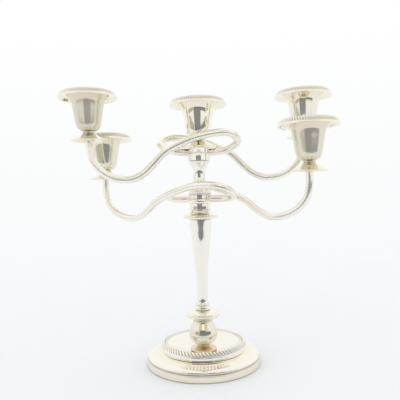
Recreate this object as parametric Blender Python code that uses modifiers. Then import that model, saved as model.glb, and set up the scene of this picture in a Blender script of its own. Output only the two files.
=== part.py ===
"""Tabletop candelabra in silver plate, for five candles. Metres, +Z up, the felt pad on z = 0.

A weighted stepped foot and a turned stem carry two lift-off branches, one above the other.
Each branch has two looped rod arms, and every cup holds a lift-out nozzle for a candle.
Heights and radii below are in millimetres and go through MM once, in turned() and rod().
"""
import math

import bpy
from mathutils import Vector

MM = 0.001
GAP = 0.3  # clearance between pieces that touch

# Driving dimensions, in millimetres
FOOT_RADIUS = 62.5
FELT_RADIUS = 59.0
FELT_THICK = 1.5
TIE_ROD_RADIUS = 2.0
TIE_BORE = 2.6
ARM_REACH = 119.5  # stem axis to cup axis
ROD_RADIUS = 4.1
LOWER_PAN_Z = 206.5
UPPER_PAN_Z = 246.5
CENTRE_PAN_Z = 237.5
LOWER_AZIMUTH = -20.3  # degrees, right-hand arm from +X
UPPER_AZIMUTH = 4.8
LOWER_ROOT_Z = 181.0  # rod axis where it enters the hub
UPPER_ROOT_Z = 232.3
ROOT_DEPTH = 8.6  # rod end, from the stem axis
ARM_HOLE = ROD_RADIUS + 2 * GAP
STUB_RADIUS = 4.6  # top stub of each spigot, inside its hub
CANDLE_BORE = 11.3
NOZZLE_RIM = 32.0
PAN_RIM = 19.5
LIGHT_TOP = 53.5  # top of a nozzle, above the rim of its pan
PAN_BOSS = 6.1  # boss inside the hollow pan, round the arm's end
SCREW_RADIUS = 1.6
SCREW_BORE = 1.9
STEM_SIDES = 20
CUP_SIDES = 18
FOOT_SIDES = 36
HOLE_SIDES = 16
BETWEEN = 2  # rod stations for each pair of control points
ROD_STRAIGHT = 3.2  # last part of an arm, upright in its pan
ROOT_STRAIGHT = 14.0  # from the stem axis, before a rod starts to bend
ARM_IN_PAN = 2.7  # how far an arm's end stands in its pan
FILLING_BORE = 10.2

for old in list(bpy.data.objects):
    bpy.data.objects.remove(old, do_unlink=True)

scene = bpy.context.scene
PARTS = bpy.data.collections.new("tabletop_candelabra")
CUTTERS = bpy.data.collections.new("cutters")
CUTTERS.hide_render = True
for folder in (PARTS, CUTTERS):
    scene.collection.children.link(folder)


def material(name, colour, roughness, metallic):
    made = bpy.data.materials.new(name)
    made.use_nodes = True
    shader = made.node_tree.nodes["Principled BSDF"]
    shader.inputs["Base Color"].default_value = (*colour, 1.0)
    shader.inputs["Roughness"].default_value = roughness
    shader.inputs["Metallic"].default_value = metallic
    made.diffuse_color = (*colour, 1.0)
    return made


SILVER = material("silver_plate", (0.93, 0.90, 0.82), 0.08, 1.0)
STEEL = material("plain_steel", (0.55, 0.55, 0.56), 0.35, 1.0)
PLASTER = material("weighting_compound", (0.62, 0.60, 0.56), 0.9, 0.0)
FELT = material("green_felt", (0.05, 0.16, 0.09), 1.0, 0.0)


def empty(name, at=(0, 0, 0), turn=0.0, parent=None):
    """A frame for a branch or a cup: at is in millimetres in the parent's frame, turn in degrees about Z."""
    made = bpy.data.objects.new(name, None)
    made.empty_display_size = 0.02
    PARTS.objects.link(made)
    made.parent = parent
    made.location = Vector(at) * MM
    made.rotation_euler = (0, 0, math.radians(turn))
    return made


def finish(obj, paint, parent, folder):
    obj.data.materials.append(paint)
    folder.objects.link(obj)
    obj.parent = parent
    return obj


def turned(name, section, paint, parent=None, sides=STEM_SIDES, ring=False, folder=PARTS):
    """A turned piece. The (radius, height) section runs down its outer side; ring closes it on itself."""
    mesh = bpy.data.meshes.new(name)
    edges = [(i, i + 1) for i in range(len(section) - 1)]
    if ring:
        edges.append((len(section) - 1, 0))
    mesh.from_pydata([(r * MM, 0, z * MM) for r, z in section], edges, [])
    obj = bpy.data.objects.new(name, mesh)
    turn = obj.modifiers.new("turn", "SCREW")
    turn.axis = "Z"
    turn.angle = 2 * math.pi
    turn.steps = turn.render_steps = sides
    turn.use_merge_vertices = True
    turn.merge_threshold = 0.00001
    turn.use_smooth_shade = True
    return finish(obj, paint, parent, folder)


def flowing(points, between):
    """Points on a smooth path through the control points, with a few between each pair."""
    path = [Vector(p) for p in points]
    path = [2 * path[0] - path[1], *path, 2 * path[-1] - path[-2]]
    out = []
    for a, b, c, d in zip(path, path[1:], path[2:], path[3:]):
        for step in range(between):
            t = step / between
            out.append(
                0.5 * (2 * b + (c - a) * t + (2 * a - 5 * b + 4 * c - d) * t**2
                       + (3 * b - a - 3 * c + d) * t**3)
            )
    return [*out, path[-2]]


def arm_path(lobe, low, rise, top, between):
    """Hub to cup: the lobe's control points, the lowest point, then a quarter turn up to vertical."""
    (low_u, low_v, low_z), points = low, [*lobe, low]
    for angle in (22, 44, 66, 90):
        s, c = math.sin(math.radians(angle)), math.cos(math.radians(angle))
        across = low_u + (ARM_REACH - low_u) * s
        points.append((across, low_v * (1 - angle / 90), low_z + rise * (1 - c)))
    points += [(ARM_REACH, 0, top - ROD_STRAIGHT), (ARM_REACH, 0, top)]
    return flowing(points, between)


def rod(name, path, paint, parent, turn):
    """A round rod along the path, with flat closed ends."""
    curve = bpy.data.curves.new(name, "CURVE")
    curve.dimensions = "3D"
    spline = curve.splines.new("POLY")
    spline.points.add(len(path) - 1)
    for point, where in zip(spline.points, path):
        point.co = (*(where * MM), 1)
    curve.bevel_depth = ROD_RADIUS * MM
    curve.bevel_resolution = 2
    curve.use_fill_caps = True
    obj = bpy.data.objects.new(name, curve)
    obj.rotation_euler = (0, 0, math.radians(turn))
    return finish(obj, paint, parent, PARTS)


def drill(obj, height):
    """Cuts the two opposite holes that the arm ends sit in."""
    for side in (0, 180):
        cutter = turned(
            f"{obj.name}_hole_{side}",
            [(0, 20), (ARM_HOLE, 20), (ARM_HOLE, ROOT_DEPTH - GAP), (0, ROOT_DEPTH - GAP)],
            STEEL, obj.parent, HOLE_SIDES, folder=CUTTERS,
        )
        cutter.location = (0, 0, height * MM)
        cutter.rotation_euler = (0, math.radians(90), math.radians(side))
        cutter.display_type = "WIRE"
        cutter.hide_render = True
        cut = obj.modifiers.new("arm_hole", "BOOLEAN")
        cut.operation = "DIFFERENCE"
        cut.solver = "EXACT"
        cut.object = cutter


# The foot: shell, border, weighting, felt and the tie rod's fastening
root = empty("candlestick")
turned("foot_felt", [(0, FELT_THICK), (FELT_RADIUS, FELT_THICK), (FELT_RADIUS, 0), (0, 0)],
       FELT, root, FOOT_SIDES)
SHELL_OUTER = [
    (5.4, 13.2), (16.0, 13.7), (28.0, 17.0), (41.7, 23.7), (42.3, 23.3), (42.5, 16.4), (44.2, 14.9),
    (47.2, 13.6), (59.4, 10.9), (61.4, 9.6), (61.0, 7.4), (FOOT_RADIUS, 6.0), (FOOT_RADIUS, 0.8),
]
SHELL_INNER = [
    (61.3, 0.8), (61.3, 5.4), (59.8, 6.9), (59.6, 9.5), (46.8, 12.4), (43.6, 13.7), (41.8, 15.3),
    (41.2, 22.3), (28.0, 15.8), (16.0, 12.6), (5.4, 12.1),
]
turned("foot_shell", SHELL_OUTER + SHELL_INNER, SILVER, root, FOOT_SIDES, ring=True)
turned(
    "foot_gadroon_border",
    [(42.6, 23.7), (43.0, 24.4), (43.8, 24.6), (45.0, 23.5), (45.9, 22.2), (46.6, 20.2), (47.0, 18.4),
     (47.0, 16.8), (46.6, 15.8), (45.2, 15.4), (43.8, 16.8), (43.1, 20.7), (42.9, 22.8)],
    SILVER, root, FOOT_SIDES, ring=True,
)
turned(
    "foot_weighting",
    [(FILLING_BORE, 11.6), (16.0, 12.0), (28.0, 14.8), (40.8, 20.2), (41.2, 14.6), (43.2, 13.0), (46.4, 11.8),
     (58.8, 9.0), (59.1, 6.8), (60.4, 5.0), (60.4, 1.8), (FILLING_BORE, 1.8)],
    PLASTER, root, FOOT_SIDES, ring=True,
)
turned("tie_washer", [(8.6, 11.0), (8.6, 9.8), (2.5, 9.8), (2.5, 11.0)], STEEL, root, 24, ring=True)
turned("tie_nut", [(4.6, 9.5), (4.6, 6.5), (2.3, 6.5), (2.3, 9.5)], STEEL, root, 6, ring=True)
turned(
    "tie_rod",
    [(0, 151.2), (4.6, 151.2), (4.6, 149.2), (TIE_ROD_RADIUS, 149.2), (TIE_ROD_RADIUS, 4.0), (0, 4.0)],
    STEEL, root, 12,
)

# The stem, from the foot up
turned(
    "stem_foot",
    [(7.4, 20.6), (6.5, 19.6), (6.8, 18.4), (10.0, 16.9), (13.4, 15.6), (14.4, 14.6), (14.1, 13.9),
     (TIE_BORE, 13.7), (TIE_BORE, 20.6)],
    SILVER, root, ring=True,
)
turned(
    "pear_knop",
    [(10.8, 46.2), (10.9, 44.9), (12.6, 41.4), (14.2, 38.2), (15.2, 33.9), (15.5, 30.8), (15.2, 27.6),
     (13.6, 24.4), (11.4, 22.2), (8.2, 20.9), (TIE_BORE, 20.9), (TIE_BORE, 46.2)],
    SILVER, root, ring=True,
)
turned(
    "disc_knop",
    [(8.2, 57.9), (12.0, 57.4), (16.4, 56.5), (19.0, 55.5), (19.7, 54.5), (19.7, 52.6), (18.8, 51.2),
     (15.4, 49.3), (12.2, 48.0), (11.6, 46.5), (TIE_BORE, 46.5), (TIE_BORE, 57.9)],
    SILVER, root, ring=True,
)
turned(
    "stem_ring",
    [(7.8, 63.2), (8.7, 62.2), (9.1, 60.6), (8.8, 59.0), (8.2, 58.2), (TIE_BORE, 58.2), (TIE_BORE, 63.2)],
    SILVER, root, ring=True,
)
turned(
    "column",
    [(12.7, 158.0), (11.4, 146.0), (9.3, 124.0), (7.2, 102.0), (6.3, 90.0), (6.1, 76.0), (6.4, 67.5),
     (7.9, 63.5), (TIE_BORE, 63.5), (TIE_BORE, 148.9), (9.5, 148.9), (9.9, 158.0)],
    SILVER, root, ring=True,
)
turned(
    "collar",
    [(10.6, 168.6), (11.2, 166.6), (13.4, 164.6), (16.6, 163.4), (18.8, 162.8), (19.1, 161.4),
     (18.7, 159.8), (16.0, 158.9), (12.8, 158.3), (9.6, 158.3), (9.6, 168.6)],
    SILVER, root, ring=True,
)
turned(
    "stem_socket",
    [(0, 153.0), (8.0, 153.0), (8.7, 175.6), (11.7, 175.6), (12.1, 175.2), (12.1, 169.9), (11.6, 168.9),
     (9.2, 168.9), (9.2, 152.0), (0, 152.0)],
    SILVER, root,
)

# The lower branch's spigot and centre pieces
lower_axis = empty("lower_branch", turn=LOWER_AZIMUTH, parent=root)
turned(
    "lower_spigot",
    [(0, 184.0), (STUB_RADIUS, 184.0), (STUB_RADIUS, 175.6), (8.3, 175.6), (7.65, 154.6), (7.0, 153.4),
     (0, 153.4)],
    SILVER, root,
)
lower_hub = turned(
    "lower_hub",
    [(12.4, 187.7), (12.9, 187.1), (12.7, 186.3), (11.9, 185.9), (11.9, 176.3), (11.5, 175.9),
     (4.9, 175.9), (4.9, 187.7)],
    SILVER, lower_axis, ring=True,
)
drill(lower_hub, LOWER_ROOT_Z)
turned(
    "lower_dome",
    [(0, 199.5), (7.4, 199.5), (8.1, 197.4), (9.7, 194.4), (11.6, 191.4), (12.5, 189.4), (12.4, 188.0),
     (0, 188.0)],
    SILVER, lower_axis,
)
turned(
    "trumpet_stem",
    [(0, 212.4), (5.3, 212.4), (8.6, 222.6), (11.8, 222.6), (12.2, 222.2), (11.4, 220.5), (10.1, 218.6),
     (8.7, 216.0), (7.5, 212.8), (6.95, 209.5), (6.9, 206.0), (7.1, 202.6), (7.5, 199.8), (0, 199.8)],
    SILVER, lower_axis,
)

# The upper branch's spigot and hub
upper_axis = empty("upper_branch", turn=UPPER_AZIMUTH, parent=root)
turned(
    "upper_spigot",
    [(0, 233.0), (STUB_RADIUS, 233.0), (STUB_RADIUS, 222.6), (8.2, 222.6), (5.0, 212.8), (0, 212.8)],
    SILVER, root,
)
upper_hub = turned(
    "upper_hub",
    [(0, 240.2), (ROD_RADIUS, 240.2), (ROD_RADIUS, 237.2), (11.6, 237.2), (12.0, 236.9), (12.0, 231.2),
     (12.4, 230.8), (12.4, 223.3), (12.0, 222.9), (4.9, 222.9), (4.9, 233.3), (0, 233.3)],
    SILVER, upper_axis,
)
drill(upper_hub, UPPER_ROOT_Z)

# The looped arms. u runs to the arm's own cup, v is a quarter turn anticlockwise from it
LOWER_LOBE = [
    (-ROOT_DEPTH, 0, LOWER_ROOT_Z), (-ROOT_STRAIGHT, 0, LOWER_ROOT_Z), (-30, -1, 181), (-41.5, 7, 184),
    (-38, 17.5, 190), (-25, 22, 194.5), (0, 20, 195), (20, 17.5, 190), (38, 14, 183.5), (50, 12, 177),
    (60, 9.5, 169), (70, 7.3, 163),
]
UPPER_LOBE = [
    (-ROOT_DEPTH, 0, UPPER_ROOT_Z), (-ROOT_STRAIGHT, 0, UPPER_ROOT_Z), (-30, -1, 234.6), (-42, 8, 242),
    (-38, 18, 248), (-25, 22, 251.5), (0, 20, 248), (20, 17.5, 241), (38, 14, 231.5), (50, 12, 219.5),
    (60, 9.5, 210), (70, 7.3, 204.8),
]
LOWER_LOW = (81, 5, 160)  # the lowest point of the rod's axis
UPPER_LOW = (80, 5.5, 203.3)
LOWER_RISE = 33.5  # height of the quarter turn up to the pan
UPPER_RISE = 39.5
lower_path = arm_path(LOWER_LOBE, LOWER_LOW, LOWER_RISE, LOWER_PAN_Z + ARM_IN_PAN, BETWEEN)
upper_path = arm_path(UPPER_LOBE, UPPER_LOW, UPPER_RISE, UPPER_PAN_Z + ARM_IN_PAN, BETWEEN)

# A light, measured from the rim of its pan: pan, cup and lift-out nozzle
PAN = [
    (6.9, 10.9), (6.2, 9.8), (8.0, 7.6), (12.6, 4.5), (18.3, 1.6), (PAN_RIM, 0.7), (19.1, 0.0),
    (18.2, 0.5), (12.6, 3.2), (7.4, 5.6), (PAN_BOSS, 5.2), (PAN_BOSS, 0.0),
    (ARM_HOLE, 0.0), (ARM_HOLE, 3.0), (SCREW_BORE, 3.0), (SCREW_BORE, 10.9),
]
CUP = [
    (22.2, 49.6), (20.3, 46.8), (18.4, 43.6), (16.8, 38.8), (15.6, 32.0), (14.2, 23.0), (13.0, 17.4),
    (11.2, 13.5), (8.2, 11.5), (6.6, 11.2), (SCREW_BORE, 11.2), (SCREW_BORE, 13.4), (7.6, 13.6),
    (10.2, 15.2), (11.8, 18.4), (13.1, 23.4), (14.6, 32.2), (15.8, 39.0), (17.4, 44.0), (19.4, 47.4),
    (21.0, 49.6),
]
NOZZLE = [
    (0, 32.0), (CANDLE_BORE, 32.0), (CANDLE_BORE, 51.1), (12.6, 51.9), (20.0, 52.0), (22.0, 53.1),
    (24.0, LIGHT_TOP), (26.8, 53.3), (29.0, 52.1), (30.5, 49.9), (31.2, 47.9), (NOZZLE_RIM, 46.5),
    (31.7, 45.9), (30.4, 46.7), (28.8, 48.6), (26.2, 50.1), (12.2, 50.4), (12.2, 31.2), (0, 31.2),
]
SCREW_HEAD = (13.7, 15.7)
SCREW = [
    (0, SCREW_HEAD[1]), (3.0, SCREW_HEAD[1]), (3.8, 15.0), (3.8, SCREW_HEAD[0]),
    (SCREW_RADIUS, SCREW_HEAD[0]), (SCREW_RADIUS, 3.1), (0, 3.1),
]

# Each light is turned so that a corner of its rim is the outermost point of the whole object.
# Lower lights reach furthest in Y and upper ones in X.
LOWER_RIM_TURN = 10.0 - (LOWER_AZIMUTH + 20.0)
UPPER_RIM_TURN = -UPPER_AZIMUTH
LIGHTS = [
    ("lower_left", lower_axis, -ARM_REACH, LOWER_PAN_Z, LOWER_RIM_TURN),
    ("lower_right", lower_axis, ARM_REACH, LOWER_PAN_Z, LOWER_RIM_TURN),
    ("upper_left", upper_axis, -ARM_REACH, UPPER_PAN_Z, UPPER_RIM_TURN),
    ("upper_right", upper_axis, ARM_REACH, UPPER_PAN_Z, UPPER_RIM_TURN),
    ("centre", upper_axis, 0, CENTRE_PAN_Z, UPPER_RIM_TURN),
]
for place, axis, across, height, turn in LIGHTS:
    stand = empty(f"{place}_light", (across, 0, height), turn, parent=axis)
    turned(f"{place}_pan", PAN, SILVER, stand, CUP_SIDES, ring=True)
    turned(f"{place}_cup", CUP, SILVER, stand, CUP_SIDES, ring=True)
    turned(f"{place}_nozzle", NOZZLE, SILVER, stand, CUP_SIDES)
    turned(f"{place}_cup_screw", SCREW, STEEL, stand, 8)
for branch, axis, path in (("lower", lower_axis, lower_path), ("upper", upper_axis, upper_path)):
    rod(f"{branch}_right_arm", path, SILVER, axis, 0)
    rod(f"{branch}_left_arm", path, SILVER, axis, 180)
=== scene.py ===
"""Looks for the tabletop candelabra: smooth turned silver plate, gadrooned borders and looped rod arms.

Sections are (radius, height) in millimetres. The foot's, the stem's and the hubs' sections are measured
from the table, and a light's from the underside of its pan. MM turns them into metres once, when a mesh
is made.
"""
import math
from collections import namedtuple

import bmesh
import bpy
import numpy as np
from mathutils import Matrix, Vector


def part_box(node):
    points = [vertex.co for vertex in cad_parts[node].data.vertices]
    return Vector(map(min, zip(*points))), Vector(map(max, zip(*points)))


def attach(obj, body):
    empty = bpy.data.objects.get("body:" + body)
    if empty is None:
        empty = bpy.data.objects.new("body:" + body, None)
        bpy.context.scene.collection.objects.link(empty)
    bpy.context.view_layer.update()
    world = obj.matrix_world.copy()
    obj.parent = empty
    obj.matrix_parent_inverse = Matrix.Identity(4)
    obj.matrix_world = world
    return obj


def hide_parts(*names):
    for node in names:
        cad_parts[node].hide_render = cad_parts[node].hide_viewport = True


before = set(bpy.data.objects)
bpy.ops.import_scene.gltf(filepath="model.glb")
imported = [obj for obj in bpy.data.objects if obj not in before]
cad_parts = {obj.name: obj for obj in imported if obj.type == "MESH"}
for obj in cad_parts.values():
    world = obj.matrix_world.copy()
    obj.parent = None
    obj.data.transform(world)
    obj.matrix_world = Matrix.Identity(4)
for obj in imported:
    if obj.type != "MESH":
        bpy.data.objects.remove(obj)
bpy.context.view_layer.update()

MM = 0.001
PLAIN_SIDES = 144
FOOT_SIDES = 240
SCREW_SIDES = 48
SAMPLES_PER_LOBE = 8
FELT_RADIUS = 59.0
FELT_THICKNESS = 1.5
STEM_BORE = 2.6
HUB_BORE, PIN_RADIUS = 4.9, 4.6
SCREW_HOLE, SCREW_SHANK = 1.9, 1.6
LIGHTS = ("lower_left", "lower_right", "upper_left", "upper_right", "centre")

# The run of a section that lobes are carved along, how many there are, their depth, how many lobes they
# slant by from the run's start to its end, and how dark their valleys are.
Gadroons = namedtuple("Gadroons", "run count depth slant patina")


# ---------------------------------------------------------------- materials
def new_material(name):
    made = bpy.data.materials.new(name)
    made.use_nodes = True
    nodes = made.node_tree.nodes
    return made, nodes, made.node_tree.links, nodes["Principled BSDF"]


def noise(nodes, links, scale, detail, stretch=(1, 1, 1)):
    """A noise texture in the piece's own space, scale per metre."""
    where = nodes.new("ShaderNodeTexCoord")
    spread = nodes.new("ShaderNodeMapping")
    spread.inputs["Scale"].default_value = stretch
    texture = nodes.new("ShaderNodeTexNoise")
    texture.inputs["Scale"].default_value = scale
    texture.inputs["Detail"].default_value = detail
    links.new(where.outputs["Object"], spread.inputs["Vector"])
    links.new(spread.outputs["Vector"], texture.inputs["Vector"])
    return texture.outputs["Fac"]


def ramp(nodes, links, value, stops):
    """A colour ramp. stops: (position, colour or grey level)."""
    made = nodes.new("ShaderNodeValToRGB")
    while len(made.color_ramp.elements) < len(stops):
        made.color_ramp.elements.new(0.5)
    for element, (at, tone) in zip(made.color_ramp.elements, stops):
        element.position = at
        element.color = (*tone, 1) if isinstance(tone, tuple) else (tone, tone, tone, 1)
    links.new(value, made.inputs["Fac"])
    return made.outputs["Color"]


def mix(nodes, links, amount, a, b, blend="MIX"):
    """A mix of two colours. Each of amount, a and b is a socket or a value."""
    made = nodes.new("ShaderNodeMix")
    made.data_type = "RGBA"
    made.blend_type = blend
    for socket, value in (("Factor", amount), ("A", a), ("B", b)):
        target = [s for s in made.inputs if s.name == socket and s.enabled][0]
        if isinstance(value, bpy.types.NodeSocket):
            links.new(value, target)
        elif isinstance(value, tuple):
            target.default_value = (*value, 1)
        else:
            target.default_value = value
    return [s for s in made.outputs if s.enabled][0]


def bump(nodes, links, shader, height, strength, distance):
    made = nodes.new("ShaderNodeBump")
    made.inputs["Strength"].default_value = strength
    made.inputs["Distance"].default_value = distance
    links.new(height, made.inputs["Height"])
    links.new(made.outputs["Normal"], shader.inputs["Normal"])


def painted(nodes, name):
    """A value painted on the mesh's points."""
    made = nodes.new("ShaderNodeAttribute")
    made.attribute_name = name
    return made.outputs["Fac"]


def silver_colour(nodes, links):
    """Clouded silver, stained where it is tarnished and brown where patina has gathered."""
    cloud = noise(nodes, links, scale=34, detail=4)
    clean = ramp(nodes, links, cloud, [
        (0.3, (0.93, 0.915, 0.8)),
        (0.5, (0.945, 0.92, 0.85)),
        (0.7, (0.945, 0.9, 0.84)),
    ])
    tarnish = painted(nodes, "tarnish")
    stained = ramp(nodes, links, tarnish, [
        (0.0, (0.94, 0.915, 0.83)),
        (0.4, (0.93, 0.885, 0.74)),
        (0.75, (0.9, 0.8, 0.66)),
        (1.0, (0.8, 0.66, 0.48)),
    ])
    any_tarnish = ramp(nodes, links, tarnish, [(0.0, 0.0), (0.15, 1.0)])
    plate = mix(nodes, links, any_tarnish, clean, stained)
    patina_brown = (0.19, 0.165, 0.11)
    return mix(nodes, links, painted(nodes, "patina"), plate, patina_brown)


def silver_roughness(nodes, links, polish):
    """Polish that varies with the wiping marks, duller under haze and dullest in patina."""
    wipe = noise(nodes, links, scale=160, detail=6, stretch=(1, 1, 0.25))
    gloss = ramp(nodes, links, wipe, [(0.35, polish), (0.75, polish + 0.06)])
    under_haze, under_patina = (0.2, 0.2, 0.2), (0.35, 0.35, 0.35)
    hazed = mix(nodes, links, painted(nodes, "haze"), gloss, under_haze)
    return mix(nodes, links, painted(nodes, "patina"), hazed, under_patina)


def silver_plate(name, polish):
    """Polished warm silver with fine polishing lines. A film of haze makes it a little less metallic."""
    made, nodes, links, shader = new_material(name)
    links.new(silver_colour(nodes, links), shader.inputs["Base Color"])
    links.new(silver_roughness(nodes, links, polish), shader.inputs["Roughness"])
    bare = ramp(nodes, links, painted(nodes, "haze"), [(0.0, 1.0), (1.0, 0.7)])
    links.new(bare, shader.inputs["Metallic"])
    lines = noise(nodes, links, scale=900, detail=3, stretch=(1, 1, 0.3))
    bump(nodes, links, shader, lines, strength=0.05, distance=0.00004)
    return made


def plain_steel():
    """Turned steel with faint tool marks round it."""
    made, nodes, links, shader = new_material("plain_steel")
    shader.inputs["Metallic"].default_value = 1.0
    blotches = noise(nodes, links, scale=240, detail=5)
    tone = ramp(nodes, links, blotches, [(0.3, (0.42, 0.42, 0.43)), (0.7, (0.6, 0.6, 0.61))])
    links.new(tone, shader.inputs["Base Color"])
    turning = noise(nodes, links, scale=90, detail=4, stretch=(1, 1, 14))
    links.new(ramp(nodes, links, turning, [(0.3, 0.28), (0.7, 0.45)]), shader.inputs["Roughness"])
    bump(nodes, links, shader, turning, strength=0.25, distance=0.00008)
    return made


def weighting():
    """Rough, pale filling of the foot."""
    made, nodes, links, shader = new_material("weighting_compound")
    grit = noise(nodes, links, scale=420, detail=8)
    tone = ramp(nodes, links, grit, [(0.3, (0.4, 0.38, 0.34)), (0.7, (0.66, 0.63, 0.58))])
    links.new(tone, shader.inputs["Base Color"])
    links.new(ramp(nodes, links, grit, [(0.3, 0.8), (0.7, 0.95)]), shader.inputs["Roughness"])
    bump(nodes, links, shader, grit, strength=0.6, distance=0.0006)
    return made


def felt():
    """Green felt: short fibres, and slightly darker patches."""
    made, nodes, links, shader = new_material("green_felt")
    shader.inputs["Sheen Weight"].default_value = 0.5
    shader.inputs["Sheen Roughness"].default_value = 0.6
    fibre = noise(nodes, links, scale=1500, detail=8)
    patches = noise(nodes, links, scale=60, detail=3)
    tone = ramp(nodes, links, fibre, [(0.3, (0.02, 0.075, 0.04)), (0.7, (0.06, 0.17, 0.095))])
    shade = ramp(nodes, links, patches, [(0.3, 0.8), (0.7, 1.0)])
    links.new(mix(nodes, links, 1.0, tone, shade, "MULTIPLY"), shader.inputs["Base Color"])
    links.new(ramp(nodes, links, fibre, [(0.3, 0.9), (0.7, 1.0)]), shader.inputs["Roughness"])
    bump(nodes, links, shader, fibre, strength=0.7, distance=0.0003)
    return made


SILVER = silver_plate("silver_plate", polish=0.05)
ROD = silver_plate("silver_rod", polish=0.24)
STEEL = plain_steel()
FILLING = weighting()
FELT = felt()

# ---------------------------------------------------------------- sections
POINTS_PER_SPAN = 6
FLAT_END = 0.3  # distance from a straight run's end to its next point
LARGEST_SHARE = 0.3  # of a run's length, for what one end of it takes
CORNER_STEPS = (0.2, 0.4, 0.6, 0.8)
SAME_PLACE = 1e-6
TINY = 1e-9  # keeps a division by a length of 0 from failing
CREVICE_REACH = 1.2
CREVICE_THRESHOLD = 0.25  # radians of hollow bend that stay clean
CREVICE_PATINA = 0.35


def flowing(points, between):
    """A smooth line through the points, in as many dimensions as they have."""
    line = [np.array(p, float) for p in points]
    line = [2 * line[0] - line[1], *line, 2 * line[-1] - line[-2]]
    out = []
    for a, b, c, d in zip(line, line[1:], line[2:], line[3:]):
        for t in np.arange(between) / between:
            out.append(0.5 * (2 * b + (c - a) * t + (2 * a - 5 * b + 4 * c - d) * t**2
                              + (3 * b - a - 3 * c + d) * t**3))
    return np.array([*out, line[-2]])


def straight(a, b):
    """A straight run with a point near each end, so that its flat stays flat when shaded."""
    a, b = np.array(a, float), np.array(b, float)
    near = min(FLAT_END / np.linalg.norm(b - a), LARGEST_SHARE)
    return np.array([a + (b - a) * t for t in (0, near, 0.5, 1 - near, 1)])


def trimmed(line, start, end):
    """The line with that length taken off each end."""
    along = np.concatenate([[0], np.cumsum(np.linalg.norm(np.diff(line, axis=0), axis=1))])
    most = along[-1] * LARGEST_SHARE
    low, high = min(start, most), along[-1] - min(end, most)
    inner = [p for s, p in zip(along, line) if low + SAME_PLACE < s < high - SAME_PLACE]
    ends = [[np.interp(s, along, line[:, k]) for k in range(2)] for s in (low, high)]
    return np.array([ends[0], *inner, ends[1]])


def run_lines(runs, ring):
    """The points along each run. A run starts where the one before it ends, and a ring is closed."""
    lines, last = [], None
    for run in runs:
        points = run if last is None else [last, *run]
        lines.append(straight(*points) if len(points) == 2 else flowing(points, POINTS_PER_SPAN))
        last = points[-1]
    if ring:
        lines.append(straight(last, runs[0][0]))
    return lines


def section(*runs, soft=0.18, ring=False):
    """Joins runs of points into one section and rounds the corners between them.

    Two-point runs are straight and longer ones flow. Returns the points, and for each the number of its
    run and how far along it is (run -1 on a corner).
    """
    lines = run_lines(runs, ring)
    points, marks = [], []
    for k, line in enumerate(lines):
        first, final = k == 0 and not ring, k == len(lines) - 1 and not ring
        line = trimmed(line, 0 if first else soft, 0 if final else soft)
        points += list(line)
        marks += [(k, t) for t in np.linspace(0, 1, len(line))]
        if final:
            continue
        after = lines[(k + 1) % len(lines)]
        corner = after[0]
        leave = trimmed(after, soft, 0)[0]
        for t in CORNER_STEPS:
            points.append((1 - t) ** 2 * line[-1] + 2 * t * (1 - t) * corner + t * t * leave)
            marks.append((-1, 0))
    return np.array(points), marks


def crevice(points):
    """The patina that each point of a section keeps because it lies in a hollow corner."""
    step = np.diff(points, axis=0)
    length = np.linalg.norm(step, axis=1) + TINY
    turn = np.zeros(len(points))
    cross = step[:-1, 0] * step[1:, 1] - step[:-1, 1] * step[1:, 0]
    turn[1:-1] = np.arcsin(np.clip(cross / (length[:-1] * length[1:]), -1, 1))
    gap = np.linalg.norm(points[:, None] - points[None], axis=2)
    bend = (np.exp(-((gap / CREVICE_REACH) ** 2)) * np.maximum(turn, 0)).sum(1)
    return np.clip(bend - CREVICE_THRESHOLD, 0, 1) * CREVICE_PATINA


def outward(points):
    """The direction out of the metal at each point of a section."""
    step = np.gradient(points, axis=0)
    return np.column_stack([-step[:, 1], step[:, 0]]) / (np.linalg.norm(step, axis=1)[:, None] + TINY)


# ---------------------------------------------------------------- wear
# How dull each cup is, from 0 to 1. A stain is (tarnish, haze, patina).
DULL_CUPS = {
    "upper_left": 0.8,
    "lower_right": 0.65,
    "lower_left": 0.4,
    "upper_right": 0.15,
    "centre": 0.0,
}
STAINS = {
    "stem_foot": (1.0, 0.2, 0.0),
    "collar": (0.5, 0.1, 0.0),
    "pear_knop": (0.35, 0.05, 0.12),
    "stem_ring": (0.16, 0.05, 0.0),
    "disc_knop": (0.16, 0.05, 0.0),
}
PAN_STAIN = (0.4, 0.1, 0.0)
NOZZLE_STAIN = (0.25, 0.0, 0.0)
NOZZLE_RIM_STAIN = (0.1, 0.0, 0.0)
BAND_STAIN = (0.45, 0.15, 0.0)
CLEAN = (0.05, 0.0, 0.0)
NOZZLE_RIM_START = 51.5
FLARE_START, FLARE_HEIGHT = 37, 8  # of a cup's mouth
BAND_TOP, BAND_INSIDE = 6.5, 59  # of the foot's outer band
DISH_RADIUS = 42.4
COVE_RADIUS, COVE_WIDTH = 56, 8  # where the foot's flange starts to darken towards the border


def part_of(value, start, width):
    """How much of the width from start the value has passed, from 0 to 1."""
    return min(max((value - start) / width, 0), 1)


def cup_stains(light, z):
    """Each cup has its own dullness, and is more tarnished where its mouth flares."""
    dull, flare = DULL_CUPS[light], part_of(z, FLARE_START, FLARE_HEIGHT)
    tarnish = 0.2 + 0.2 * dull + 0.45 * flare
    patina = 0.32 * dull * (1 - 0.6 * flare)
    return tarnish, dull, patina


def foot_stains(r, z):
    """The outer band is tarnished, and so is the flange, more towards the border."""
    if z < BAND_TOP and r > BAND_INSIDE:
        return BAND_STAIN
    cove = part_of(-r, -COVE_RADIUS, COVE_WIDTH) * (r > DISH_RADIUS)
    tarnish = 0.08 + 0.28 * cove
    haze = 0.08 + 0.1 * cove
    return tarnish, haze, 0.0


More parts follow.
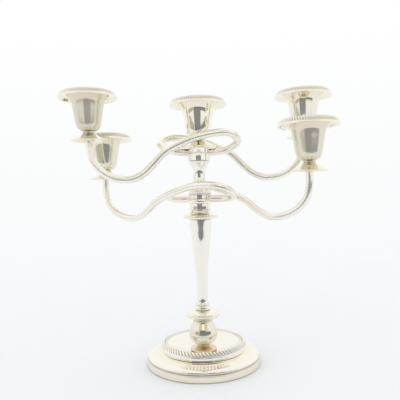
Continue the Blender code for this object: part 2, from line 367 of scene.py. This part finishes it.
def stains(name, r, z):
    """(tarnish, haze, patina) of a silver piece at a point of its section."""
    light, _, part = name.rpartition("_")
    if part == "cup":
        return cup_stains(light, z)
    if part == "pan":
        return PAN_STAIN
    if part == "nozzle":
        return NOZZLE_STAIN if z < NOZZLE_RIM_START else NOZZLE_RIM_STAIN
    if name == "foot_shell":
        return foot_stains(r, z)
    return STAINS.get(name, CLEAN)


# ---------------------------------------------------------------- meshes
ON_AXIS = 1e-6
LOBE_END_SHARPNESS = 8
VALLEY_FALLOFF = 1.5


def lobe(f):
    """Height across one gadroon, from its valley at 0 over its crest to the next valley at 1."""
    return np.sqrt(np.maximum(0, 1 - (2 * f - 1) ** 2))


def valleys(gadroons, t, sides):
    """How deep in a valley each point of a row lies, from 0 to 1, at t along the gadrooned run."""
    across = (np.arange(sides) * gadroons.count / sides) % 1.0
    return (1 - (2 * t - 1) ** LOBE_END_SHARPNESS) * (1 - lobe(across))


def row_of(build, radii, heights, turn):
    """A row of points round the axis."""
    return [build.verts.new((r * math.cos(a) * MM, r * math.sin(a) * MM, z * MM))
            for r, z, a in zip(radii, heights, turn)]


def skin(build, rows):
    """Faces between the rows. A row of one point is a pole, and rows without a pole close into a ring."""
    closed = len(rows[0]) > 1
    sides = max(len(row) for row in rows)
    for upper, lower in zip(rows, rows[1:] + ([rows[0]] if closed else [])):
        for i in range(sides):
            j = (i + 1) % sides
            if len(upper) == 1:
                build.faces.new((upper[0], lower[i], lower[j]))
            elif len(lower) == 1:
                build.faces.new((upper[i], lower[0], upper[j]))
            else:
                build.faces.new((upper[i], lower[i], lower[j], upper[j]))
    bmesh.ops.recalc_face_normals(build, faces=build.faces)
    for face in build.faces:
        face.smooth = True


def mesh_from(build, name):
    mesh = bpy.data.meshes.new(name)
    build.to_mesh(mesh)
    build.free()
    return mesh


def turned_mesh(name, shape, sides, gadroons):
    """A section turned round the Z axis, with its wear painted on its points."""
    points, marks = shape
    angles = np.arange(sides) * 2 * math.pi / sides
    build = bmesh.new()
    patina, tarnish, haze = [build.verts.layers.float.new(n) for n in ("patina", "tarnish", "haze")]
    rows, twist = [], 0.0
    for (r, z), (run, t), (out_r, out_z), worn in zip(points, marks, outward(points), crevice(points)):
        if r < ON_AXIS:
            rows.append([build.verts.new((0, 0, z * MM))])
            continue
        valley, dip, gathered = np.zeros(sides), 0.0, 0.0
        if gadroons and run == gadroons.run:
            twist = gadroons.slant * t * 2 * math.pi / gadroons.count
            valley = valleys(gadroons, t, sides)
            dip, gathered = gadroons.depth, gadroons.patina
        row = row_of(build, r - dip * valley * out_r, z - dip * valley * out_z, angles + twist)
        stain, dull, dark = stains(name, r, z)
        for vert, deep in zip(row, valley):
            vert[patina] = min(1.0, worn + dark + gathered * deep**VALLEY_FALLOFF)
            vert[tarnish] = stain
            vert[haze] = dull
        rows.append(row)
    skin(build, rows)
    return mesh_from(build, name)


def turned(name, shape, body, at=(0, 0, 0), sides=PLAIN_SIDES, gadroons=None, paint=SILVER):
    """A turned piece that stands for the CAD node of that name."""
    if gadroons:
        sides = gadroons.count * SAMPLES_PER_LOBE
    obj = bpy.data.objects.new(f"{name}_look", turned_mesh(name, shape, sides, gadroons))
    obj.location = Vector(at)
    return place(obj, body, paint, name)


def place(obj, body, paint, node):
    """Gives a piece its finish and its body, and lets it stand for its CAD node."""
    obj.data.materials.append(paint)
    bpy.context.scene.collection.objects.link(obj)
    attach(obj, body)
    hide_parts(node)
    return obj


# ---------------------------------------------------------------- foot
def foot_shell():
    """Spun shell: a dished middle, its edge, a sloping flange, and an outer band with a rounded lip."""
    shell = section(
        [(5.4, 13.2), (16.0, 13.7), (24.0, 15.5), (32.0, 18.8), (37.5, 21.5), (41.8, 23.6)],
        [(42.3, 23.3)],
        [(42.4, 17.6), (42.9, 16.0), (44.2, 15.2), (45.8, 15.0), (47.8, 14.2)],
        [(53.0, 12.5), (58.6, 11.4)],
        [(60.6, 10.8), (61.4, 9.6), (61.4, 8.4), (60.9, 7.5)],
        [(61.6, 7.2), (62.3, 6.6), (62.5, 5.6)],
        [(62.5, 0.8)],
        [(61.3, 0.8)],
        [(61.3, 5.4), (59.8, 6.9), (59.6, 9.4), (46.8, 12.4), (43.6, 13.7), (41.8, 15.3)],
        [(41.2, 22.2), (36.8, 20.0), (31.6, 17.4), (24.0, 14.3), (16.0, 12.6), (5.4, 12.1)],
        ring=True,
    )
    turned("foot_shell", shell, "candlestick", sides=FOOT_SIDES)


def foot_gadroon_border():
    """Ring round the dish, with slanted lobes over its shoulder."""
    border = section(
        [(42.9, 22.8), (42.6, 23.2), (42.6, 23.7), (42.9, 24.3)],
        [(43.8, 24.6), (44.9, 23.6), (45.7, 22.5), (46.3, 21.2), (46.6, 20.0)],
        [(46.9, 19.3), (47.0, 18.2), (47.0, 16.8), (46.6, 15.8)],
        [(45.2, 15.4)],
        [(43.9, 16.6), (43.4, 18.8), (43.1, 21.2)],
        soft=0.1,
        ring=True,
    )
    lobes = Gadroons(run=1, count=76, depth=1.2, slant=1.2, patina=1.7)
    turned("foot_gadroon_border", border, "candlestick", gadroons=lobes)


def foot_felt():
    """Round pad under the foot, with a rounded edge."""
    edge = FELT_RADIUS - 0.1
    pad = section(
        [(0, FELT_THICKNESS), (edge, FELT_THICKNESS)],
        [(FELT_RADIUS, FELT_THICKNESS / 2), (edge, 0.0)],
        [(0, 0)],
        soft=0.25,
    )
    return turned("foot_felt", pad, "candlestick", sides=FOOT_SIDES, paint=FELT)


# ---------------------------------------------------------------- stem
def stem_foot():
    """Flared piece between the foot and the pear-shaped knop."""
    shape = section(
        [(7.4, 20.6), (6.6, 20.0), (6.5, 19.1), (7.4, 18.0), (10.2, 16.8), (13.0, 15.9)],
        [(14.3, 15.3), (14.5, 14.6), (14.2, 13.9)],
        [(STEM_BORE, 13.7)],
        [(STEM_BORE, 20.6)],
        ring=True,
    )
    turned("stem_foot", shape, "candlestick")


def pear_knop():
    """Pear-shaped knop, widest in its lower half."""
    shape = section(
        [(10.8, 46.2), (11.0, 44.9), (11.9, 42.8), (13.0, 40.6), (14.1, 38.4), (14.75, 36.2), (15.2, 33.9),
         (15.5, 31.2), (15.4, 28.6), (14.7, 26.0), (13.1, 23.7), (10.9, 21.8), (8.2, 20.9)],
        [(STEM_BORE, 20.9)],
        [(STEM_BORE, 46.2)],
        ring=True,
    )
    turned("pear_knop", shape, "candlestick")


def disc_knop():
    """Wide disc that tapers to its foot."""
    shape = section(
        [(8.2, 57.9), (12.0, 57.4), (16.0, 56.6), (18.8, 55.6)],
        [(19.5, 54.9), (19.7, 53.6), (19.5, 52.4)],
        [(18.4, 51.0), (15.4, 49.3), (12.6, 48.0), (11.7, 47.2), (11.6, 46.5)],
        [(STEM_BORE, 46.5)],
        [(STEM_BORE, 57.9)],
        ring=True,
    )
    turned("disc_knop", shape, "candlestick")


def stem_ring():
    """Small round ring under the column."""
    shape = section(
        [(7.6, 63.2), (8.6, 62.4), (9.1, 60.7), (8.9, 59.1), (8.1, 58.2)],
        [(STEM_BORE, 58.2)],
        [(STEM_BORE, 63.2)],
        ring=True,
    )
    turned("stem_ring", shape, "candlestick")


def column():
    """Long column that widens upwards, with its top bored out for the socket."""
    shape = section(
        [(12.7, 158.0), (12.5, 156.0), (11.4, 146.0), (10.4, 135.0), (9.3, 124.0), (8.2, 113.0),
         (7.2, 102.0), (6.4, 91.0), (6.1, 80.0), (6.1, 72.0), (6.4, 67.6), (7.3, 64.9)],
        [(7.9, 64.4), (7.9, 63.5)],
        [(STEM_BORE, 63.5)],
        [(STEM_BORE, 148.9)],
        [(9.5, 148.9)],
        [(9.9, 158.0)],
        ring=True,
    )
    turned("column", shape, "candlestick")


def collar():
    """Wide collar that rises to the socket."""
    shape = section(
        [(10.6, 168.6), (10.8, 167.4), (12.0, 165.6), (14.6, 164.1), (18.0, 163.1)],
        [(19.0, 162.5), (19.1, 161.2), (18.7, 159.9)],
        [(16.0, 159.0), (12.8, 158.3)],
        [(9.6, 158.3)],
        [(9.6, 168.6)],
        ring=True,
    )
    turned("collar", shape, "candlestick")


def stem_socket():
    """Socket at the column's top, which takes a candle or the lower spigot."""
    shape = section(
        [(0, 153.0), (8.0, 153.0)],
        [(8.7, 175.6)],
        [(12.1, 175.6)],
        [(12.1, 169.6)],
        [(11.6, 169.2), (11.5, 168.9)],
        [(9.2, 168.9)],
        [(9.2, 152.0)],
        [(0, 152.0)],
        soft=0.3,
    )
    turned("stem_socket", shape, "candlestick")


# ---------------------------------------------------------------- lower branch's centre
def lower_spigot():
    """Taper that stands in the socket, with the pin that the lower branch turns on."""
    shape = section(
        [(0, 184.0), (PIN_RADIUS, 184.0)],
        [(PIN_RADIUS, 175.6)],
        [(8.3, 175.6)],
        [(7.65, 154.6)],
        [(7.0, 153.4)],
        [(0, 153.4)],
        soft=0.3,
    )
    turned("lower_spigot", shape, "lower_spigot")


def lower_hub():
    """Round hub that the lower arms are rooted in, with a bead at each end."""
    shape = section(
        [(12.3, 187.7), (12.8, 187.5), (12.9, 186.9), (12.7, 186.3), (12.1, 186.0)],
        [(11.9, 185.6)],
        [(11.9, 180.6)],
        [(12.3, 180.2), (12.7, 179.3), (12.8, 178.2), (12.6, 177.0), (12.1, 175.9)],
        [(HUB_BORE, 175.9)],
        [(HUB_BORE, 187.7)],
        ring=True,
    )
    turned("lower_hub", shape, "lower_branch")


def lower_dome():
    """Dome over the lower hub."""
    shape = section(
        [(0, 199.5), (7.4, 199.5)],
        [(7.7, 198.2), (8.6, 196.2), (10.0, 193.8), (11.6, 191.4), (12.3, 189.8)],
        [(12.5, 189.0), (12.3, 188.2)],
        [(12.2, 188.0)],
        [(0, 188.0)],
    )
    turned("lower_dome", shape, "lower_branch")


def trumpet_stem():
    """Stem that flares into the upper branch's socket."""
    shape = section(
        [(0, 212.4), (5.3, 212.4)],
        [(8.6, 222.6)],
        [(11.8, 222.6)],
        [(12.2, 222.3), (12.1, 221.7), (11.3, 220.4), (10.1, 218.6), (8.7, 216.0), (7.6, 212.8),
         (6.95, 209.4), (6.9, 206.0), (7.1, 202.6), (7.5, 199.8)],
        [(0, 199.8)],
    )
    turned("trumpet_stem", shape, "lower_branch")


# ---------------------------------------------------------------- upper branch's centre
def upper_spigot():
    """Taper that stands in the trumpet, with the pin that the upper branch turns on."""
    shape = section(
        [(0, 233.0), (PIN_RADIUS, 233.0)],
        [(PIN_RADIUS, 222.6)],
        [(8.2, 222.6)],
        [(5.0, 212.8)],
        [(0, 212.8)],
        soft=0.3,
    )
    turned("upper_spigot", shape, "upper_spigot")


def upper_hub():
    """Plain round hub that the upper arms are rooted in."""
    shape = section(
        [(0, 240.2), (4.1, 240.2)],
        [(4.1, 237.2)],
        [(12.0, 237.2)],
        [(12.0, 231.4)],
        [(12.1, 231.0), (12.4, 230.6)],
        [(12.4, 222.9)],
        [(HUB_BORE, 222.9)],
        [(HUB_BORE, 233.3)],
        [(0, 233.3)],
        soft=0.3,
    )
    turned("upper_hub", shape, "upper_branch")


# ---------------------------------------------------------------- arms
ROD_RADIUS = 4.1
ROD_ROUNDNESS = 14
ROD_STEPS = 12
ROOT_DEPTH = 8.6  # rod end, from the stem axis
ROD_TOP = 2.7  # rod end, above the underside of its pan
UPRIGHT = 3.2  # straight end of the rod
QUARTER_BEND = (22, 44, 66, 90)

# An arm's loop, its lowest point, and how far its quarter bend rises. u runs to the arm's own cup, v is a
# quarter turn anticlockwise from it, and z is measured from the table.
LOWER_LOOP = [
    (-ROOT_DEPTH, 0, 181.0), (-14, 0, 181.0), (-30, -1, 181.0), (-41.5, 7, 184), (-38, 17.5, 190),
    (-25, 22, 194.5), (0, 20, 195), (20, 17.5, 190), (38, 14, 183.5), (50, 12, 177), (60, 9.5, 169),
    (70, 7.3, 163),
]
LOWER_LOW, LOWER_RISE = (81, 5, 160), 33.5
UPPER_LOOP = [
    (-ROOT_DEPTH, 0, 232.3), (-14, 0, 232.3), (-30, -1, 234.6), (-42, 8, 242), (-38, 18, 248),
    (-25, 22, 251.5), (0, 20, 248), (20, 17.5, 241), (38, 14, 231.5), (50, 12, 219.5), (60, 9.5, 210),
    (70, 7.3, 204.8),
]
UPPER_LOW, UPPER_RISE = (80, 5.5, 203.3), 39.5


def pan_place(light):
    """(centre in plan, height of the underside) of a light's pan."""
    low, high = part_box(f"{light}_pan")
    return Vector(((low.x + high.x) / 2, (low.y + high.y) / 2)), low.z


def arm_path(loop, low, rise, top, reach):
    """Rod axis from hub to cup: the loop, then a quarter bend up from its lowest point."""
    (low_u, low_v, low_z), points = low, [*loop, low]
    for angle in QUARTER_BEND:
        s, c = math.sin(math.radians(angle)), math.cos(math.radians(angle))
        points.append((low_u + (reach - low_u) * s, low_v * (1 - angle / 90), low_z + rise * (1 - c)))
    points += [(reach, 0, top - UPRIGHT), (reach, 0, top)]
    return flowing(points, ROD_STEPS)


def arm(branch, side, loop, low, rise):
    """One looped rod, from inside its branch's hub to its light."""
    centre, height = pan_place(f"{branch}_{side}")
    path = arm_path(loop, low, rise, height / MM + ROD_TOP, centre.length / MM)
    curve = bpy.data.curves.new(f"{branch}_{side}_arm", "CURVE")
    curve.dimensions = "3D"
    spline = curve.splines.new("POLY")
    spline.points.add(len(path) - 1)
    for point, where in zip(spline.points, path):
        point.co = (*(Vector(where) * MM), 1)
    spline.use_smooth = True
    curve.bevel_depth = ROD_RADIUS * MM
    curve.bevel_resolution = ROD_ROUNDNESS
    curve.use_fill_caps = True
    obj = bpy.data.objects.new(f"{branch}_{side}_arm_look", curve)
    obj.rotation_euler = (0, 0, math.atan2(centre.y, centre.x))
    place(obj, f"{branch}_branch", ROD, f"{branch}_{side}_arm")


# ---------------------------------------------------------------- lights
def pan(light, body, at):
    """Skirt-shaped pan under a cup, over the end of its rod."""
    shape = section(
        [(6.9, 10.9), (6.3, 10.2), (6.3, 9.4), (7.0, 8.4), (9.0, 6.8), (12.6, 4.6), (16.4, 2.5),
         (18.7, 1.35)],
        [(19.4, 1.0), (19.5, 0.5), (19.2, 0.05)],
        [(18.2, 0.5), (15.4, 1.8), (12.6, 3.2), (9.6, 4.8), (7.4, 5.7)],
        [(6.4, 5.6), (6.1, 4.8)],
        [(6.1, 0.0)],
        [(4.7, 0.0)],
        [(4.7, 3.0)],
        [(SCREW_HOLE, 3.0)],
        [(SCREW_HOLE, 10.9)],
        ring=True,
    )
    turned(f"{light}_pan", shape, body, at)


def cup(light, body, at):
    """Bell-shaped cup, hollow above its floor."""
    shape = section(
        [(22.1, 49.5), (20.6, 47.3), (19.3, 45.4), (18.3, 43.4), (17.5, 41.4), (16.9, 39.0), (16.4, 36.4),
         (15.9, 33.2), (15.3, 29.6), (14.7, 26.0), (14.0, 22.0), (13.2, 18.0), (12.0, 14.9), (10.2, 12.7),
         (8.2, 11.5), (6.7, 11.2)],
        [(SCREW_HOLE, 11.2)],
        [(SCREW_HOLE, 13.4)],
        [(7.4, 13.6), (9.8, 14.8), (11.4, 17.2), (12.6, 20.9), (13.7, 26.2), (14.6, 31.2), (15.3, 36.0),
         (16.2, 40.8), (17.3, 43.9), (19.1, 46.8), (21.0, 49.5)],
        ring=True,
    )
    turned(f"{light}_cup", shape, body, at)


def nozzle(light, at):
    """Well for a candle, and a brim that turns down in a gadrooned edge."""
    shape = section(
        [(0, 32.0), (11.3, 32.0)],
        [(11.3, 51.3)],
        [(12.0, 51.9), (13.6, 52.0), (17.4, 51.9), (20.4, 52.1)],
        [(21.4, 52.9), (22.6, 53.35), (24.2, 53.5)],
        [(26.4, 53.3), (28.4, 52.5), (29.8, 51.1), (30.7, 49.4), (31.2, 47.9)],
        [(31.5, 47.2), (32.0, 46.5)],
        [(31.9, 46.0), (31.5, 45.9)],
        [(30.4, 46.7), (29.2, 48.1), (27.8, 49.3), (25.4, 50.1), (22.0, 50.4), (13.0, 50.3)],
        [(12.2, 49.6), (12.2, 31.2)],
        [(0, 31.2)],
        soft=0.15,
    )
    lobes = Gadroons(run=4, count=70, depth=1.7, slant=1.5, patina=2.0)
    turned(f"{light}_nozzle", shape, f"{light}_nozzle", at, gadroons=lobes)


def cup_screw(light, body, at):
    """Screw that holds a cup and its pan."""
    shape = section(
        [(0, 15.7), (1.6, 15.6), (3.0, 15.2), (3.8, 14.5)],
        [(3.8, 13.7)],
        [(SCREW_SHANK, 13.7)],
        [(SCREW_SHANK, 3.1)],
        [(0, 3.1)],
        soft=0.12,
    )
    turned(f"{light}_cup_screw", shape, body, at, sides=SCREW_SIDES, paint=STEEL)


# ---------------------------------------------------------------- the whole
def candlestick():
    foot_shell()
    foot_gadroon_border()
    felt_pad = foot_felt()
    stem_foot()
    pear_knop()
    disc_knop()
    stem_ring()
    column()
    collar()
    stem_socket()


def branches():
    lower_spigot()
    lower_hub()
    lower_dome()
    trumpet_stem()
    upper_spigot()
    upper_hub()
    for side in ("right", "left"):
        arm("lower", side, LOWER_LOOP, LOWER_LOW, LOWER_RISE)
    for side in ("right", "left"):
        arm("upper", side, UPPER_LOOP, UPPER_LOW, UPPER_RISE)


def lights():
    for light in LIGHTS:
        body = "lower_branch" if light.startswith("lower") else "upper_branch"
        centre, height = pan_place(light)
        at = (centre.x, centre.y, height)
        pan(light, body, at)
        cup(light, body, at)
        nozzle(light, at)
        cup_screw(light, body, at)


def hidden_nodes():
    """The CAD pieces inside the foot keep their shape and get a finish."""
    finishes = {"foot_weighting": FILLING, "tie_washer": STEEL, "tie_nut": STEEL, "tie_rod": STEEL}
    for node, paint in finishes.items():
        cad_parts[node].data.materials.clear()
        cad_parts[node].data.materials.append(paint)


# ---------------------------------------------------------------- studio
# What the polished pieces mirror.
DIM_ROOM = (0.22, 0.24, 0.255)
DIM_ROOM_ABOVE = (0.26, 0.27, 0.27)
WARM_CEILING = (0.74, 0.68, 0.56)
BRIGHT_BOX = (1.25, 1.25, 1.25)
WARM_WALL = (0.5, 0.46, 0.38)
TENT_WHITE = (0.955, 0.965, 0.97)
FLOOR_RADIUS = 6
FADE_START, FADE_END = 0.5, 2.6  # the floor turns white between these distances from the stem


def emission(nodes, colour):
    made = nodes.new("ShaderNodeEmission")
    made.inputs["Color"].default_value = (*colour, 1)
    made.inputs["Strength"].default_value = 1.0
    return made.outputs["Emission"]


def glow(name, colour):
    made = bpy.data.materials.new(name)
    made.use_nodes = True
    nodes, links = made.node_tree.nodes, made.node_tree.links
    nodes.clear()
    links.new(emission(nodes, colour), nodes.new("ShaderNodeOutputMaterial").inputs["Surface"])
    return made


def floor_material():
    """Pale blue-grey paper that brightens to white in the distance."""
    made, nodes, links, shader = new_material("pale_floor")
    paper = noise(nodes, links, scale=6, detail=3)
    tone = ramp(nodes, links, paper, [(0.3, (0.925, 0.945, 0.965)), (0.7, (0.94, 0.96, 0.98))])
    links.new(tone, shader.inputs["Base Color"])
    shader.inputs["Roughness"].default_value = 0.6
    shader.inputs["Specular IOR Level"].default_value = 0.2
    where = nodes.new("ShaderNodeTexCoord")
    away = nodes.new("ShaderNodeVectorMath")
    away.operation = "LENGTH"
    links.new(where.outputs["Object"], away.inputs[0])
    far = nodes.new("ShaderNodeMapRange")
    far.inputs["From Min"].default_value = FADE_START
    far.inputs["From Max"].default_value = FADE_END
    links.new(away.outputs["Value"], far.inputs["Value"])
    fade = nodes.new("ShaderNodeMixShader")
    links.new(far.outputs["Result"], fade.inputs["Fac"])
    links.new(shader.outputs["BSDF"], fade.inputs[1])
    links.new(emission(nodes, TENT_WHITE), fade.inputs[2])
    links.new(fade.outputs["Shader"], nodes["Material Output"].inputs["Surface"])
    return made


def card(name, x, y, width, low, high, colour):
    """An upright card of the light tent, facing the stem and seen only in reflections."""
    build = bmesh.new()
    bmesh.ops.create_grid(build, x_segments=1, y_segments=1, size=0.5)
    obj = bpy.data.objects.new(name, mesh_from(build, name))
    obj.scale = (width, high - low, 1)
    obj.location = (x, y, (low + high) / 2)
    obj.rotation_euler = (math.pi / 2, 0, 0)
    obj.data.materials.append(glow(name, colour))
    obj.visible_camera = False
    obj.visible_shadow = False
    obj.visible_diffuse = False
    bpy.context.scene.collection.objects.link(obj)
    return obj


def floor_disc():
    build = bmesh.new()
    bmesh.ops.create_circle(build, cap_ends=True, segments=96, radius=FLOOR_RADIUS)
    floor = bpy.data.objects.new("floor", mesh_from(build, "floor"))
    floor.data.materials.append(floor_material())
    bpy.context.scene.collection.objects.link(floor)
    return floor


def tent():
    """White light from every side, slightly dimmer and bluer near the horizon."""
    world = bpy.data.worlds.new("tent")
    world.use_nodes = True
    nodes, links = world.node_tree.nodes, world.node_tree.links
    upward = nodes.new("ShaderNodeSeparateXYZ")
    links.new(nodes.new("ShaderNodeTexCoord").outputs["Generated"], upward.inputs[0])
    tone = ramp(nodes, links, upward.outputs["Z"], [(0.0, TENT_WHITE), (0.35, (1.0, 1.0, 1.0))])
    links.new(tone, nodes["Background"].inputs["Color"])
    nodes["Background"].inputs["Strength"].default_value = 1.0
    bpy.context.scene.world = world


def studio():
    floor = floor_disc()
    cards = [
        card("opening_low", x=0.33, y=-0.465, width=1.24, low=0.0, high=0.164, colour=DIM_ROOM),
        card("opening_high", x=-0.05, y=-0.466, width=0.46, low=0.164, high=0.28, colour=DIM_ROOM_ABOVE),
        card("ceiling_front", x=0.0, y=-0.75, width=1.5, low=0.4, high=1.3, colour=WARM_CEILING),
        card("softbox", x=0.0, y=-0.74, width=0.26, low=0.45, high=0.8, colour=BRIGHT_BOX),
        card("front_left", x=-1.1, y=-0.465, width=1.55, low=0.0, high=0.166, colour=WARM_WALL),
    ]
    tent()
    bpy.context.scene.view_settings.view_transform = "Standard"


# ---------------------------------------------------------------- camera
LENS = 41.1
SENSOR_WIDTH = 36.0
CAMERA_PLACE = (0, -0.5069, 0.1862)
LOOKING_DOWN = 0.75  # degrees below the horizon
ROLL = -1.46


def camera():
    made = bpy.data.cameras.new("camera")
    made.sensor_width = SENSOR_WIDTH
    made.lens = LENS
    obj = bpy.data.objects.new("camera", made)
    tilt = Matrix.Rotation(math.radians(90 - LOOKING_DOWN), 4, "X")
    roll = Matrix.Rotation(math.radians(ROLL), 4, "Z")
    obj.matrix_world = Matrix.Translation(CAMERA_PLACE) @ tilt @ roll
    bpy.context.scene.collection.objects.link(obj)
    bpy.context.scene.camera = obj


candlestick()
branches()
lights()
hidden_nodes()
camera()
studio()
